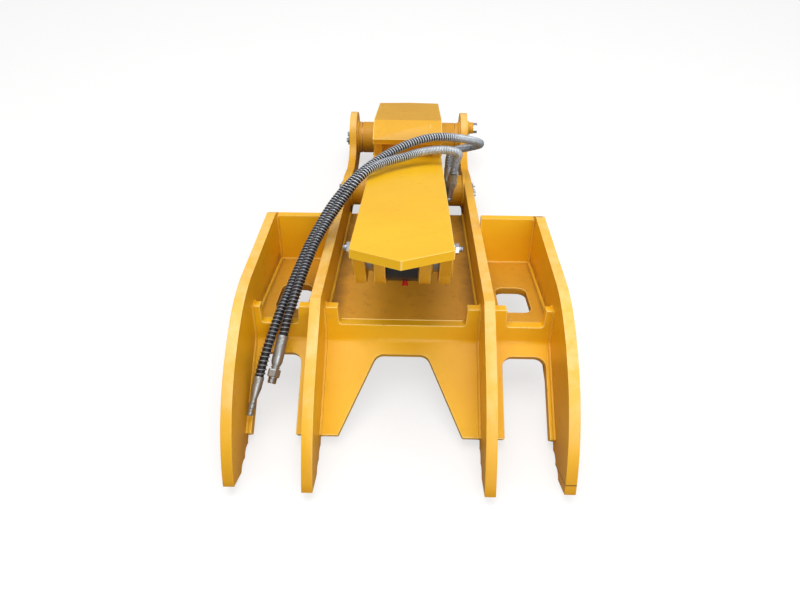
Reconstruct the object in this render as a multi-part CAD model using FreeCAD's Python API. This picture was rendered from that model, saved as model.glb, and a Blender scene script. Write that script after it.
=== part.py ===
import FreeCAD, Part
import math
import os
from FreeCAD import Vector

# Excavator thumb, weld-on type, lying on its grip side with the arm bracket folded down on top.
# Millimetres. X is across the thumb, Y runs from the tine tips to the main pivot, Z is up.
# Outlines are written as (y, z) pairs, with y measured from the outer tine tips and z from the ground.

os.makedirs("parts", exist_ok=True)

# Across the thumb
channel_half = 190.0          # centre plane to the inner face of a long tine
tine_plate = 25.0
wing_clear = 150.0            # between a long tine and a short one
cross_plate = 25.0            # bent front plates and wing back plates
floor_plate = 20.0

# Main pivot and its pin
pivot_y, pivot_z = 1406.0, 92.0
ear_radius = 92.0
pivot_pin_radius = 40.0
pivot_tube_radius = 56.0
pivot_bush_wall = 8.0
pivot_bush_length = 90.0
ear_collar_width = 17.0
collar_gap = 3.0
pin_stickout = 6.0
lock_sleeve_offset = (-26.0, 58.0)
lock_sleeve_radius = 20.0
lock_sleeve_length = 22.0
lock_head_flats = 32.0
lock_head_length = 14.0
end_bar_half_height = 9.0
end_bar_plate = 5.0
end_bolt_flats = 14.0
end_bolt_head = 7.0
running_gap = 0.05

# Cylinder pins
boss_y, boss_z = 1080.0, 80.0
rod_pin_y, rod_pin_z = 393.0, 369.0
cylinder_pin_radius = 30.0
boss_radius = 52.0
eye_radius = 52.0
eye_width = 70.0
eye_side_gap = 2.5
bush_wall = 7.0
boss_bush_length = 60.0

# Long and short tines
tip_back_y = 52.0
inner_tip = (-8.0, 26.0)
inner_brow = (346.0, 282.0)
inner_shoulder = (1105.0, 119.0)
inner_neck = (1200.0, 86.0)
outer_tip = (0.0, 30.0)
outer_brow = (410.0, 285.0)
outer_rear_top = (722.0, 244.0)
ear_fillet = 80.0
tooth_pitch = 38.0
tooth_count = 7
tooth_depth = 9.0
tooth_radius = 24.0

# Floors, measured along their own slope
floor_front = (356.0, 183.0)
wing_floor_slope = math.radians(14.3)
center_floor_slope = math.radians(12.75)
wing_floor_length = 349.0
center_floor_end_y = 1000.0
wing_back_height = 137.0
floor_hole_size = (82.0, 127.0)
floor_hole_start = 70.0
floor_hole_side = 32.0
floor_hole_corner = 24.0

# Bent front plates
front_ear_height = 48.0
front_drop = 43.5
apron_length = 236.0
apron_slope = math.radians(26.4)
bend_radius = 15.0
center_ear_width = 35.0
wing_ear_inner = 40.0
wing_ear_outer = 20.0
notch_corner = 9.0
cutout_below_bend = 37.0
center_cutout_top_half = 62.0
center_cutout_foot_half = 148.0
cutout_corner = 26.0
wing_leg_inner = 32.0
wing_leg_outer = 12.0

# Arm bracket
bracket_width = 216.0
bracket_plate = 20.0
arm_plate_start = (288.0, 482.0)
arm_plate_over_pivot = 24.581273
arm_plate_slope = math.atan((arm_plate_start[1] - pivot_z - arm_plate_over_pivot)
                            / (pivot_y - arm_plate_start[0]))
arm_plate_nose = 60.0
head_plate_start = (pivot_y - 379.0, 303.0)
head_plate_bend = (pivot_y - 287.0, 319.0)
head_plate_slope = math.radians(18.4)
head_plate_length = 350.0
head_plate_nose = 14.0
web_plate = 25.0
web_inset = 2.0
web_depth = 66.0
web_pivot_radius = 74.0
lug_web_gap = 18.5
lug_radius = 58.0
lug_reach = 62.0
riser_plate = 15.0
flag_plate = 6.0
flag_radius = 42.0
lock_bolt_radius = 7.0
lock_bolt_offset = (-16.0, 42.0)
lock_nut_flats = 22.0

# Hydraulic cylinder
barrel_radius = 52.0
barrel_bore = 43.0
rod_radius = 28.0
cap_start = 57.0
barrel_start = 75.0
gland_lip = 32.0
wiper_lip = 5.0
piston_length = 50.0
piston_start = 100.0
rod_collar_length = 60.0
rod_collar_radius = 34.0
closed_clearance = 8.312015
port_places = (85.0, 125.0)
port_reach = 83.0
port_boss_radius = 17.0
port_pipe_radius = 11.0
port_rise = 45.0
transfer_pipe_radius = 8.0
transfer_pipe_gap = 9.0
transfer_block_half = 14.0
transfer_block_width = 34.0
transfer_block_lip = 12.0
transfer_block_root = 8.0
transfer_start_past_port = 45.0
transfer_end_before_gland = 30.0

# Hoses
hose_radius = 11.0

tine_outer_x = channel_half + tine_plate
short_tine_x = tine_outer_x + wing_clear
total_length = pivot_y + ear_radius - inner_tip[0]
mid_y = inner_tip[0] + total_length / 2


def at(x, y, z):
    return Vector(x, y - mid_y, z)


def line(a, b, x=0.0):
    return Part.LineSegment(at(x, *a), at(x, *b)).toShape()


def arc(a, b, c, x=0.0):
    return Part.Arc(at(x, *a), at(x, *b), at(x, *c)).toShape()


def spline(points, x=0.0):
    curve = Part.BSplineCurve()
    curve.interpolate([at(x, *p) for p in points])
    return curve.toShape()


def slab(edges, x, thickness):
    """A plate with an outline in the YZ plane, from x to x + thickness."""
    face = Part.Face(Part.Wire(edges))
    face.translate(Vector(x, 0, 0))
    return face.extrude(Vector(thickness, 0, 0))


def polygon(points):
    return [line(points[i], points[(i + 1) % len(points)]) for i in range(len(points))]


def rod_x(y, z, radius, x0, x1):
    return Part.makeCylinder(radius, x1 - x0, at(x0, y, z), Vector(1, 0, 0))


def ring_x(y, z, outer, inner, x0, x1):
    return rod_x(y, z, outer, x0, x1).cut(rod_x(y, z, inner, x0, x1))


def shifted(point, direction, distance):
    return (point[0] + direction[0] * distance, point[1] + direction[1] * distance)


def crossing(p, d, q, e):
    """Where the line through p along d meets the line through q along e, in the YZ plane."""
    det = e[0] * d[1] - e[1] * d[0]
    t = (e[0] * (q[1] - p[1]) - e[1] * (q[0] - p[0])) / det
    return shifted(p, d, t)


def rounded_face(corners, radius):
    """A flat face through the corners, each rounded by the radius."""
    edges = []
    ends = []
    for i, corner in enumerate(corners):
        before = (corners[i - 1] - corner).normalize()
        after = (corners[(i + 1) % len(corners)] - corner).normalize()
        half = before.getAngle(after) / 2
        reach = radius / math.tan(half)
        middle = (before + after).normalize() * (radius / math.sin(half) - radius)
        start, end = corner + before * reach, corner + after * reach
        edges.append(Part.Arc(start, corner + middle, end).toShape())
        ends.append((start, end))
    joined = []
    for i, edge in enumerate(edges):
        joined.append(edge)
        joined.append(Part.LineSegment(ends[i][1], ends[(i + 1) % len(ends)][0]).toShape())
    return Part.Face(Part.Wire(joined))


def window(origin, along, outline, radius, depth=60.0):
    """A cutting prism. The outline is (x, distance along) in a plane through the origin."""
    normal = Vector(0, -along[1], along[0])
    corners = [at(x, *shifted(origin, along, v)) for x, v in outline]
    face = rounded_face(corners, radius)
    face.translate(normal * -depth)
    return face.extrude(normal * 2 * depth)


def mirrored(shape):
    return shape.mirror(Vector(0, 0, 0), Vector(1, 0, 0))


def save(shape, name):
    for solid in shape.Solids:
        if not solid.isValid():
            print("not valid:", name)
    shape.exportStep("parts/" + name + ".step")
    print(name, len(shape.Solids), round(shape.Volume / 1000, 1), "cm3")


def save_pair(shape, name):
    """The shape is on the right, at +X, and its twin is on the left."""
    save(shape, name + "_right")
    save(mirrored(shape), name + "_left")


def cross_edges(shape, place, reach):
    """Edges along X within reach of a (y, z) place."""
    found = []
    for edge in shape.Edges:
        tangent = edge.tangentAt(edge.FirstParameter)
        centre = edge.CenterOfMass
        gap = math.hypot(centre.y - at(0, *place).y, centre.z - place[1])
        if abs(tangent.x) > 0.999 and gap < reach:
            found.append(edge)
    return found


# Directions in the side view
wing_along = (math.cos(wing_floor_slope), -math.sin(wing_floor_slope))
wing_up = (math.sin(wing_floor_slope), math.cos(wing_floor_slope))
center_along = (math.cos(center_floor_slope), -math.sin(center_floor_slope))
center_up = (math.sin(center_floor_slope), math.cos(center_floor_slope))
apron_up = (math.cos(apron_slope), math.sin(apron_slope))
apron_back = (math.sin(apron_slope), -math.cos(apron_slope))
arm_along = (math.cos(arm_plate_slope), -math.sin(arm_plate_slope))
arm_under = (-math.sin(arm_plate_slope), -math.cos(arm_plate_slope))
head_along = (math.cos(head_plate_slope), -math.sin(head_plate_slope))
head_under = (-math.sin(head_plate_slope), -math.cos(head_plate_slope))

front_top = shifted(floor_front, wing_up, front_ear_height)
front_bend = shifted(floor_front, wing_up, -front_drop)
apron_foot = shifted(front_bend, apron_up, -apron_length)
front_rear_floor = shifted(floor_front, wing_along, cross_plate)


def belly_edge():
    """Grip side of a tine, from the ear end to the tip: an arch with its ends on the ground."""
    return spline([(1150.0, 0.0), (1010.0, 8.0), (820.0, 36.0), (600.0, 56.0),
                   (400.0, 48.0), (260.0, 27.0), (150.0, 5.0), (tip_back_y, 0.0)])


def cut_teeth(tine, belly, x):
    """Scallops along the grip edge, one pitch apart from the tip, leave the teeth between them."""
    for number in range(tooth_count):
        parameter = belly.getParameterByLength(belly.Length - (number + 0.5) * tooth_pitch)
        point = belly.valueAt(parameter)
        tangent = belly.tangentAt(parameter)
        down = Vector(0, tangent.z, -tangent.y)
        if down.z > 0:
            down = down * -1
        centre = point + down * (tooth_radius - tooth_depth)
        centre.x = x - 1
        tine = tine.cut(Part.makeCylinder(tooth_radius, tine_plate + 2, centre, Vector(1, 0, 0)))
    return tine


def make_inner_tine():
    belly = belly_edge()
    ear_bottom = (pivot_y, pivot_z - ear_radius)
    neck_end_y = pivot_y - math.sqrt(ear_radius ** 2 - (pivot_z - inner_neck[1]) ** 2)
    neck_end = (neck_end_y, inner_neck[1])
    ear_back = (pivot_y + ear_radius * math.cos(math.radians(30)),
                pivot_z + ear_radius * math.sin(math.radians(30)))
    outline = [spline([inner_tip, (47.0, 97.0), (120.0, 163.0), (238.0, 228.0), inner_brow]),
               line(inner_brow, inner_shoulder), line(inner_shoulder, inner_neck),
               line(inner_neck, neck_end), arc(neck_end, ear_back, ear_bottom),
               line(ear_bottom, (1150.0, 0.0)), belly, line((tip_back_y, 0.0), inner_tip)]
    tine = slab(outline, channel_half, tine_plate)
    tine = tine.makeFillet(ear_fillet, cross_edges(tine, neck_end, 3))
    tine = tine.makeFillet(120.0, cross_edges(tine, inner_shoulder, 3))
    tine = tine.makeFillet(60.0, cross_edges(tine, inner_neck, 3))
    tine = cut_teeth(tine, belly, channel_half)
    tine = tine.cut(rod_x(pivot_y, pivot_z, pivot_pin_radius + running_gap, 0, 400))
    tine = tine.cut(rod_x(boss_y, boss_z, cylinder_pin_radius + running_gap, 0, 400))
    save_pair(tine, "inner_tine")


def wing_back_corners():
    foot = shifted(floor_front, wing_along, wing_floor_length)
    low = shifted(foot, wing_up, -floor_plate)
    top = shifted(foot, wing_up, wing_back_height)
    return low, top, shifted(top, wing_along, cross_plate), shifted(low, wing_along, cross_plate)


def make_outer_tine():
    low, top, rear_top, rear_low = wing_back_corners()
    heel = (rear_low[0] - 22.0, rear_low[1] - 14.0)
    belly = spline([heel, (560.0, 55.0), (400.0, 47.0), (260.0, 27.0), (150.0, 5.0), (tip_back_y, 0.0)])
    outline = [spline([outer_tip, (59.0, 126.0), (134.0, 198.0), (225.0, 250.0), (320.0, 281.0), outer_brow]),
               line(outer_brow, outer_rear_top), line(outer_rear_top, rear_top), line(rear_top, rear_low),
               line(rear_low, heel), belly, line((tip_back_y, 0.0), outer_tip)]
    tine = slab(outline, short_tine_x, tine_plate)
    tine = tine.makeFillet(12.0, cross_edges(tine, outer_rear_top, 3) + cross_edges(tine, rear_low, 3))
    tine = cut_teeth(tine, belly, short_tine_x)
    save_pair(tine, "outer_tine")


def front_plate(x0, x1):
    """Bent plate: an upright upper facet and an apron that slopes down to the grip side."""
    rear_top = shifted(front_top, wing_along, cross_plate)
    rear_foot = shifted(apron_foot, apron_back, cross_plate)
    rear_bend = crossing(rear_top, wing_up, rear_foot, apron_up)
    plate = slab(polygon([front_top, rear_top, rear_bend, rear_foot, apron_foot, front_bend]), x0, x1 - x0)
    plate = plate.makeFillet(bend_radius, cross_edges(plate, front_bend, 3))
    return plate.makeFillet(bend_radius + cross_plate, cross_edges(plate, rear_bend, 3))


def make_center_front():
    plate = front_plate(-channel_half, channel_half)
    half = channel_half - center_ear_width
    notch = [(-half, 0), (half, 0), (half + 4, 2 * front_ear_height), (-half - 4, 2 * front_ear_height)]
    plate = plate.cut(window(floor_front, wing_up, notch, notch_corner))
    foot = apron_length + 60.0
    spread = (center_cutout_foot_half - center_cutout_top_half) / (apron_length - cutout_below_bend)
    low_half = center_cutout_top_half + spread * (foot - cutout_below_bend)
    cutout = [(-center_cutout_top_half, -cutout_below_bend), (center_cutout_top_half, -cutout_below_bend),
              (low_half, -foot), (-low_half, -foot)]
    plate = plate.cut(window(front_bend, apron_up, cutout, cutout_corner))
    save(plate, "center_front_plate")


def make_wing_front():
    plate = front_plate(tine_outer_x, short_tine_x)
    left, right = tine_outer_x + wing_ear_inner, short_tine_x - wing_ear_outer
    notch = [(left, 0), (right, 0), (right + 2, 2 * front_ear_height), (left - 6, 2 * front_ear_height)]
    plate = plate.cut(window(floor_front, wing_up, notch, notch_corner))
    left, right = tine_outer_x + wing_leg_inner, short_tine_x - wing_leg_outer
    foot = apron_length + 60.0
    cutout = [(left, -cutout_below_bend), (right, -cutout_below_bend), (right, -foot), (left, -foot)]
    plate = plate.cut(window(front_bend, apron_up, cutout, cutout_corner))
    save_pair(plate, "wing_front_plate")


def make_floors():
    low, top, rear_top, rear_low = wing_back_corners()
    foot = shifted(floor_front, wing_along, wing_floor_length)
    front_low = shifted(front_rear_floor, wing_up, -floor_plate)
    floor = slab(polygon([front_rear_floor, foot, low, front_low]), tine_outer_x, wing_clear)
    near = tine_outer_x + floor_hole_side
    far = near + floor_hole_size[0]
    end = floor_hole_start + floor_hole_size[1]
    hole = window(floor_front, wing_along,
                  [(near, floor_hole_start), (far, floor_hole_start), (far, end), (near, end)], floor_hole_corner)
    save_pair(floor.cut(hole), "wing_floor")

    start = crossing(floor_front, center_along, front_rear_floor, wing_up)
    start_low = crossing(shifted(floor_front, center_up, -floor_plate), center_along, front_rear_floor, wing_up)
    length = (center_floor_end_y - floor_front[0]) / math.cos(center_floor_slope)
    end_top = shifted(floor_front, center_along, length)
    end_low = shifted(end_top, center_up, -floor_plate)
    floor = slab(polygon([start, end_top, end_low, start_low]), -channel_half, 2 * channel_half)
    save(floor, "center_floor")

    back = slab(polygon([low, top, rear_top, rear_low]), tine_outer_x, wing_clear)
    save_pair(back, "wing_back_plate")


def make_thumb_bosses():
    collar = ring_x(pivot_y, pivot_z, pivot_tube_radius, pivot_pin_radius + running_gap,
                    channel_half - ear_collar_width, channel_half)
    save(Part.makeCompound([collar, mirrored(collar)]), "ear_collars")
    inner_end = eye_width / 2 + eye_side_gap
    bush_radius = cylinder_pin_radius + bush_wall
    boss = rod_x(boss_y, boss_z, boss_radius, inner_end, channel_half)
    boss = boss.cut(rod_x(boss_y, boss_z, cylinder_pin_radius + running_gap, inner_end, channel_half))
    boss = boss.cut(rod_x(boss_y, boss_z, bush_radius, inner_end, inner_end + boss_bush_length))
    save_pair(boss, "cylinder_boss")
    bush = ring_x(boss_y, boss_z, bush_radius, cylinder_pin_radius + running_gap,
                  inner_end, inner_end + boss_bush_length)
    save(Part.makeCompound([bush, mirrored(bush)]), "cylinder_boss_bushes")


def chamfered_pin(y, z, radius, x0, x1, chamfer=3.0):
    pin = rod_x(y, z, radius, x0, x1)
    rims = [edge for edge in pin.Edges if abs(edge.Length - 2 * math.pi * radius) < 0.1]
    return pin.makeChamfer(chamfer, rims)


def hex_x(y, z, flats, x0, x1):
    radius = flats / math.sqrt(3)
    corners = [(y + radius * math.cos(math.radians(60 * k)), z + radius * math.sin(math.radians(60 * k)))
               for k in range(6)]
    return slab(polygon(corners), x0, x1 - x0)


def make_thumb_pins():
    reach = tine_outer_x + pin_stickout
    save(chamfered_pin(pivot_y, pivot_z, pivot_pin_radius, -reach, reach), "pivot_pin")
    save(chamfered_pin(boss_y, boss_z, cylinder_pin_radius, -reach, reach), "cylinder_pin")
    plates = []
    bolts = []
    for y, z, radius in ((pivot_y, pivot_z, pivot_pin_radius), (boss_y, boss_z, cylinder_pin_radius)):
        low, high = z - end_bar_half_height, z + end_bar_half_height
        bar = slab(polygon([(y - radius, low), (y + radius, low), (y + radius, high), (y - radius, high)]),
                   reach, end_bar_plate)
        plates.append(bar)
        for side in (-0.55, 0.55):
            bolt_x = reach + end_bar_plate
            bolts.append(hex_x(y + side * radius, z, end_bolt_flats, bolt_x, bolt_x + end_bolt_head))
    lock_y, lock_z = pivot_y + lock_sleeve_offset[0], pivot_z + lock_sleeve_offset[1]
    sleeve_end = tine_outer_x + lock_sleeve_length
    sleeve = rod_x(lock_y, lock_z, lock_sleeve_radius, tine_outer_x, sleeve_end)
    bolt = hex_x(lock_y, lock_z, lock_head_flats, sleeve_end, sleeve_end + lock_head_length)
    save(Part.makeCompound(plates + [mirrored(p) for p in plates]), "pin_end_bars")
    save(Part.makeCompound(bolts + [mirrored(b) for b in bolts] + [bolt]), "pin_end_bolts")
    save(sleeve, "pivot_lock_sleeve")


def arm_prism(start, length, margin=0.0):
    """The long arm plate, pointed at its near end."""
    half = bracket_width / 2 + margin
    outline = [(-half, start), (0, start - arm_plate_nose), (half, start), (half, length), (-half, length)]
    corners = [at(x, *shifted(arm_plate_start, arm_along, v)) for x, v in outline]
    face = Part.Face(Part.makePolygon(corners + [corners[0]]))
    return face.extrude(Vector(0, *arm_under) * bracket_plate)


def arm_plate():
    length = (pivot_y - arm_plate_start[0]) / arm_along[0]
    plate = arm_prism(0.0, length)
    plate = plate.cut(rod_x(pivot_y, pivot_z, pivot_tube_radius, -200, 200))
    return max(plate.Solids, key=lambda solid: solid.Volume)


def head_plate():
    half = bracket_width / 2
    outline = [(-half, 0), (half, 0), (half, head_plate_length), (0, head_plate_length + head_plate_nose),
               (-half, head_plate_length)]
    corners = [at(x, *shifted(head_plate_bend, head_along, v)) for x, v in outline]
    far = Part.Face(Part.makePolygon(corners + [corners[0]])).extrude(Vector(0, *head_under) * bracket_plate)
    rise = (head_plate_bend[0] - head_plate_start[0], head_plate_bend[1] - head_plate_start[1])
    size = math.hypot(*rise)
    under = (rise[1] / size, -rise[0] / size)
    near = slab(polygon([head_plate_start, head_plate_bend, shifted(head_plate_bend, under, bracket_plate),
                         shifted(head_plate_start, under, bracket_plate)]), -half, 2 * half)
    return near.fuse(far).removeSplitter()


def arm_line(y, under=0.0):
    """Height of the arm plate's top, or of a line that lies under it, at y."""
    return arm_plate_start[1] - math.tan(arm_plate_slope) * (y - arm_plate_start[0]) \
        - under / math.cos(arm_plate_slope)


def head_line(y, under=0.0):
    return head_plate_bend[1] - math.tan(head_plate_slope) * (y - head_plate_bend[0]) \
        - under / math.cos(head_plate_slope)


def make_bracket():
    plate = arm_plate()
    head = head_plate()
    save(plate, "arm_plate")
    save(head, "head_plate")

    web_x = bracket_width / 2 - web_inset - web_plate
    clear_z = boss_z + boss_radius + 18.0
    start_y = arm_plate_start[0] + 18.0
    lower = slab(polygon([(start_y, arm_line(start_y, bracket_plate)),
                          (pivot_y - 20.0, arm_line(pivot_y - 20.0, bracket_plate)),
                          (pivot_y - 30.0, pivot_z), (boss_y + 120.0, clear_z), (boss_y - 60.0, clear_z),
                          (boss_y - 160.0, arm_line(boss_y - 160.0, bracket_plate + web_depth)),
                          (rod_pin_y + 90.0, arm_line(rod_pin_y + 90.0, bracket_plate + web_depth)),
                          (rod_pin_y + 45.0, rod_pin_z - 40.0), (rod_pin_y - 50.0, rod_pin_z - 25.0)]),
                 web_x, web_plate)
    head_back = head_plate_bend[0] + head_plate_length * head_along[0] - 14.0
    upper = slab(polygon([(head_plate_start[0] + 22.0, arm_line(head_plate_start[0] + 22.0)),
                          (head_plate_start[0] + 28.0, head_plate_start[1] - 16.0),
                          (head_plate_bend[0], head_plate_bend[1] - 2.0), (head_back, head_line(head_back)),
                          (head_back + 8.0, pivot_z + 30.0), (pivot_y, pivot_z - 20.0)]), web_x, web_plate)
    web = lower.fuse([upper, rod_x(pivot_y, pivot_z, web_pivot_radius, web_x, web_x + web_plate),
                      rod_x(rod_pin_y, rod_pin_z, lug_radius, web_x, web_x + web_plate)])
    web = web.cut([arm_prism(0.0, (pivot_y - arm_plate_start[0]) / arm_along[0]), head,
                   rod_x(pivot_y, pivot_z, pivot_tube_radius, 0, 200),
                   rod_x(rod_pin_y, rod_pin_z, cylinder_pin_radius + running_gap, 0, 200)])
    web = max(web.Solids, key=lambda solid: solid.Volume).removeSplitter()
    bolt_y, bolt_z = rod_pin_y + lock_bolt_offset[0], rod_pin_z + lock_bolt_offset[1]
    web = web.cut(rod_x(bolt_y, bolt_z, lock_bolt_radius + 0.3, 0, 200))
    save_pair(web, "bracket_web")

    riser_y = head_plate_start[0] + 46.0
    riser = slab(polygon([(riser_y, arm_line(riser_y)), (riser_y + riser_plate, arm_line(riser_y + riser_plate)),
                          (riser_y + riser_plate, head_plate_bend[1]), (riser_y, head_plate_bend[1])]),
                 -web_x, 2 * web_x).cut(head)
    save(min(riser.Solids, key=lambda solid: solid.CenterOfMass.z), "head_riser")

    lug_x = eye_width / 2 + eye_side_gap
    lug_plate = web_x - lug_web_gap - lug_x
    lug_front, lug_rear = rod_pin_y - lug_reach, rod_pin_y + lug_reach
    lug = slab(polygon([(lug_front, arm_line(lug_front)), (lug_rear, arm_line(lug_rear)),
                        (rod_pin_y + lug_radius, rod_pin_z), (rod_pin_y - 50.0, rod_pin_z - 29.0)]),
               lug_x, lug_plate)
    lug = lug.fuse(rod_x(rod_pin_y, rod_pin_z, lug_radius, lug_x, lug_x + lug_plate))
    lug = lug.cut([arm_prism(0.0, 400.0), rod_x(rod_pin_y, rod_pin_z, cylinder_pin_radius + running_gap, 0, 200)])
    save_pair(max(lug.Solids, key=lambda solid: solid.Volume).removeSplitter(), "rod_lug")

    half = channel_half - ear_collar_width - collar_gap
    bush_radius = pivot_pin_radius + pivot_bush_wall
    tube = ring_x(pivot_y, pivot_z, pivot_tube_radius, pivot_pin_radius + 3.0, -half, half)
    tube = tube.cut([rod_x(pivot_y, pivot_z, bush_radius, -half, -half + pivot_bush_length),
                     rod_x(pivot_y, pivot_z, bush_radius, half - pivot_bush_length, half)])
    save(tube, "pivot_tube")
    bush = ring_x(pivot_y, pivot_z, bush_radius, pivot_pin_radius + running_gap, half - pivot_bush_length, half)
    save(Part.makeCompound([bush, mirrored(bush)]), "pivot_bushes")
    washer = ring_x(pivot_y, pivot_z, pivot_tube_radius - 2.0, pivot_pin_radius + running_gap,
                    half, half + collar_gap - 2 * running_gap)
    save(Part.makeCompound([washer, mirrored(washer)]), "pivot_washers")

    web_face = web_x + web_plate
    stub = rod_x(rod_pin_y, rod_pin_z, cylinder_pin_radius, lug_x, web_face)
    save_pair(stub, "rod_pin")
    disc = rod_x(rod_pin_y, rod_pin_z, flag_radius, web_face, web_face + flag_plate)
    tab = rod_x(bolt_y, bolt_z, 15.0, web_face, web_face + flag_plate)
    flag = disc.fuse(tab).removeSplitter()
    flag = flag.cut(rod_x(bolt_y, bolt_z, lock_bolt_radius + 0.3, 0, 200))
    save(Part.makeCompound([flag, mirrored(flag)]), "rod_pin_flags")
    head_x = web_x - 9.0
    bolt = hex_x(bolt_y, bolt_z, lock_nut_flats, head_x, web_x)
    bolt = bolt.fuse(rod_x(bolt_y, bolt_z, lock_bolt_radius, web_x - 1, web_face + flag_plate + 14.0))
    save(Part.makeCompound([bolt, mirrored(bolt)]), "lock_bolts")
    nut_x = web_face + flag_plate
    nut = hex_x(bolt_y, bolt_z, lock_nut_flats, nut_x, nut_x + 11.0)
    nut = nut.cut(rod_x(bolt_y, bolt_z, lock_bolt_radius, 0, 300))
    save(Part.makeCompound([nut, mirrored(nut)]), "lock_nuts")


# Cylinder axis, from the thumb's boss to the rod pin
axis_run = (rod_pin_y - boss_y, rod_pin_z - boss_z)
axis_length = math.hypot(*axis_run)
axis = (axis_run[0] / axis_length, axis_run[1] / axis_length)
barrel_end = axis_length - rod_collar_length - wiper_lip - gland_lip - closed_clearance
axis_side = (-axis[1], axis[0])


def on_axis(distance, side=0.0, x=0.0):
    y, z = shifted(shifted((boss_y, boss_z), axis, distance), axis_side, side)
    return at(x, y, z)


def bar(radius, start, end, side=0.0, x=0.0):
    return Part.makeCylinder(radius, end - start, on_axis(start, side, x), Vector(0, *axis))


def tube(outer, inner, start, end):
    return bar(outer, start, end).cut(bar(inner, start, end))


def eye_block(low, high, side_low, side_high, width):
    """A block along the cylinder, from low to high along its axis and between two offsets from it."""
    points = []
    for distance, side in ((low, side_low), (high, side_low), (high, side_high), (low, side_high)):
        points.append(shifted(shifted((boss_y, boss_z), axis, distance), axis_side, side))
    return slab(polygon(points), -width / 2, width)


def make_cylinder():
    half = eye_width / 2
    bush_radius = cylinder_pin_radius + bush_wall
    bore = rod_x(boss_y, boss_z, bush_radius, -half, half)
    cap = rod_x(boss_y, boss_z, eye_radius, -half, half)
    cap = cap.fuse([eye_block(0.0, cap_start + 1.0, -40.0, 40.0, eye_width),
                    bar(barrel_radius, cap_start, barrel_start)])
    save(cap.cut(bore).removeSplitter(), "barrel_cap_eye")
    save(ring_x(boss_y, boss_z, bush_radius, cylinder_pin_radius + running_gap, -half, half), "cap_eye_bush")
    save(tube(barrel_radius, barrel_bore, barrel_start, barrel_end), "barrel")
    gland_end = barrel_end + gland_lip
    gland = tube(barrel_radius, rod_radius + running_gap, barrel_end, gland_end)
    gland = gland.fuse(tube(barrel_bore, rod_radius + running_gap, barrel_end - 45.0, barrel_end))
    gland = gland.removeSplitter()
    rims = [edge for edge in gland.Edges if abs(edge.Length - 2 * math.pi * barrel_radius) < 0.1
            and (edge.CenterOfMass - on_axis(gland_end)).Length < 1]
    save(gland.makeChamfer(6.0, rims), "gland")
    save(tube(rod_radius + 8.0, rod_radius + running_gap, gland_end, gland_end + wiper_lip), "rod_wiper")
    piston = tube(barrel_bore - running_gap, rod_radius - 8.0, piston_start, piston_start + piston_length)
    mid = piston_start + piston_length / 2
    piston = piston.cut(tube(barrel_bore, barrel_bore - 6.0, mid - 7.0, mid + 7.0))
    save(piston, "piston")
    save(tube(barrel_bore - running_gap, barrel_bore - 6.0, mid - 7.0, mid + 7.0), "piston_seal")
    collar_start = axis_length - rod_collar_length
    rod = bar(rod_radius, piston_start + piston_length, collar_start)
    rod = rod.fuse(bar(rod_radius - 8.0, piston_start - 14.0, piston_start + piston_length)).removeSplitter()
    save(rod, "cylinder_rod")
    nut = tube(rod_radius, rod_radius - 8.0, piston_start - 14.0, piston_start)
    save(nut, "piston_nut")
    eye = rod_x(rod_pin_y, rod_pin_z, eye_radius, -half, half)
    eye = eye.fuse(bar(rod_collar_radius, collar_start, axis_length))
    eye = eye.cut(rod_x(rod_pin_y, rod_pin_z, bush_radius, -half, half)).removeSplitter()
    save(eye, "rod_eye")
    save(ring_x(rod_pin_y, rod_pin_z, bush_radius, cylinder_pin_radius + running_gap, -half, half), "rod_eye_bush")
    save(rod_x(rod_pin_y, rod_pin_z, cylinder_pin_radius, -half - 1.0, half + 1.0), "rod_pin_middle")
    nipple_y, nipple_z = rod_pin_y - 38.0, rod_pin_z - 38.0
    cap = Part.makeCone(5.0, 8.0, 12.0, at(6, nipple_y + 2.0, nipple_z + 2.0), Vector(0, -1, -1))
    cap = cap.cut(rod_x(rod_pin_y, rod_pin_z, eye_radius, -half, half))
    save(cap, "grease_cap")


port_directions = (Vector(0, 0.6, 0.8), Vector(0.12, 0.1, 0.99).normalize())


def port_corner(number):
    return on_axis(port_places[number], 0.0, barrel_radius + port_reach)


def make_ports():
    elbows = []
    for number, place in enumerate(port_places):
        start = on_axis(place, 0.0, barrel_bore + 3.0)
        corner = port_corner(number)
        boss = Part.makeCylinder(port_boss_radius, 20.0, start, Vector(1, 0, 0))
        pipe = Part.makeCylinder(port_pipe_radius, corner.x - start.x, start, Vector(1, 0, 0))
        end = Part.makeCylinder(port_pipe_radius, port_rise, corner, port_directions[number])
        elbow = boss.fuse([pipe, Part.makeSphere(port_pipe_radius + 2.0, corner), end]).removeSplitter()
        elbows.append(elbow.cut(bar(barrel_radius, cap_start, barrel_end)))
    save(Part.makeCompound(elbows), "port_elbows")
    side = barrel_radius + transfer_pipe_gap
    first, last = port_places[1] + transfer_start_past_port, barrel_end - transfer_end_before_gland
    pipe = bar(transfer_pipe_radius, first, last, side)
    half = transfer_block_half
    blocks = [eye_block(place - half, place + half, barrel_radius - transfer_block_root,
                        side + transfer_block_lip, transfer_block_width) for place in (first, last)]
    pipe = pipe.fuse(blocks).cut(bar(barrel_radius, cap_start, barrel_end))
    save(pipe.removeSplitter(), "transfer_pipe")


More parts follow.
